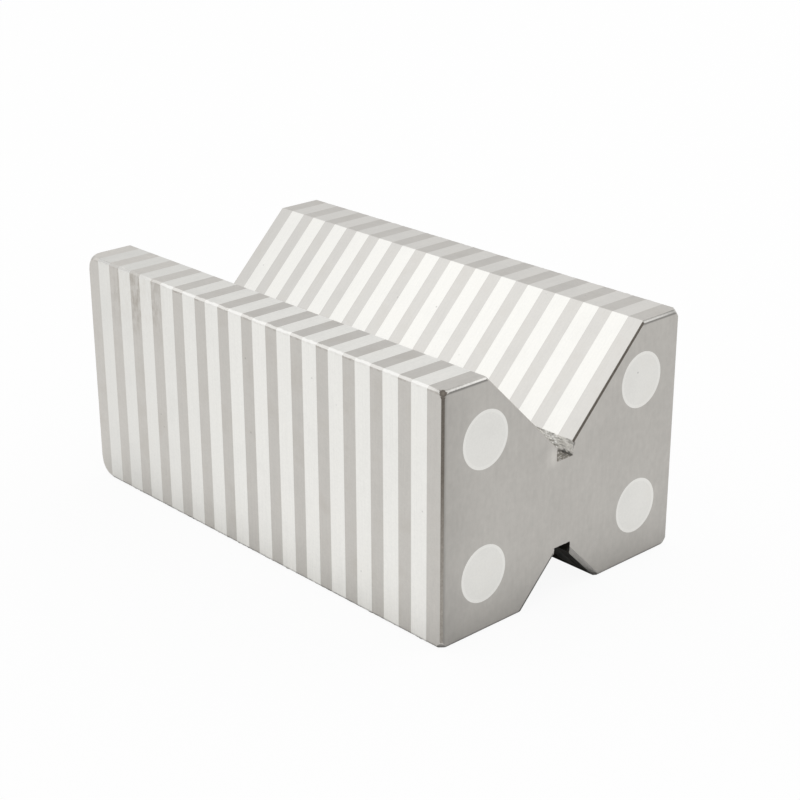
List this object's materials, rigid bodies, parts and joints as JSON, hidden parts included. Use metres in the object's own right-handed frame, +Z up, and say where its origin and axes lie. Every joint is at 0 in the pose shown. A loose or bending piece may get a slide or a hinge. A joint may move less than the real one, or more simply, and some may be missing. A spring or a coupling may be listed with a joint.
{
  "type": "laminated magnetic transfer v block",
  "caption": "Rectangular workholding block of alternating steel and non-magnetic laminations on through rods, with a large vee along its top and a small vee along its base, both relieved.",
  "frame": {"origin": "middle of the base, at the centre of the block's footprint", "axes": "+X along the vees and through the stack, +Y across the vees, +Z up towards the large vee's mouth"},
  "size_m": [0.1016, 0.06, 0.0474],
  "materials": {
    "lamination_steel": "ground mild steel, fine one-way grinding lines, satin",
    "spacer_metal": "ground light non-magnetic metal, fine one-way grinding lines, satin",
    "rod_metal": "light non-magnetic metal rod, ends ground flush"
  },
  "bodies": {
    "root": {"end_plate_back": "lamination_steel", "end_plate_front": "lamination_steel", "steel_lamination_01": "lamination_steel", "steel_lamination_02": "lamination_steel", "steel_lamination_03": "lamination_steel", "steel_lamination_04": "lamination_steel", "steel_lamination_05": "lamination_steel", "steel_lamination_06": "lamination_steel", "steel_lamination_07": "lamination_steel", "steel_lamination_08": "lamination_steel", "steel_lamination_09": "lamination_steel", "steel_lamination_10": "lamination_steel", "steel_lamination_11": "lamination_steel", "steel_lamination_12": "lamination_steel", "steel_lamination_13": "lamination_steel", "spacer_01": "spacer_metal", "spacer_02": "spacer_metal", "spacer_03": "spacer_metal", "spacer_04": "spacer_metal", "spacer_05": "spacer_metal", "spacer_06": "spacer_metal", "spacer_07": "spacer_metal", "spacer_08": "spacer_metal", "spacer_09": "spacer_metal", "spacer_10": "spacer_metal", "spacer_11": "spacer_metal", "spacer_12": "spacer_metal", "spacer_13": "spacer_metal", "spacer_14": "spacer_metal", "tie_rod_1": "rod_metal", "tie_rod_2": "rod_metal", "tie_rod_3": "rod_metal", "tie_rod_4": "rod_metal"}
  },
  "joints": []
}
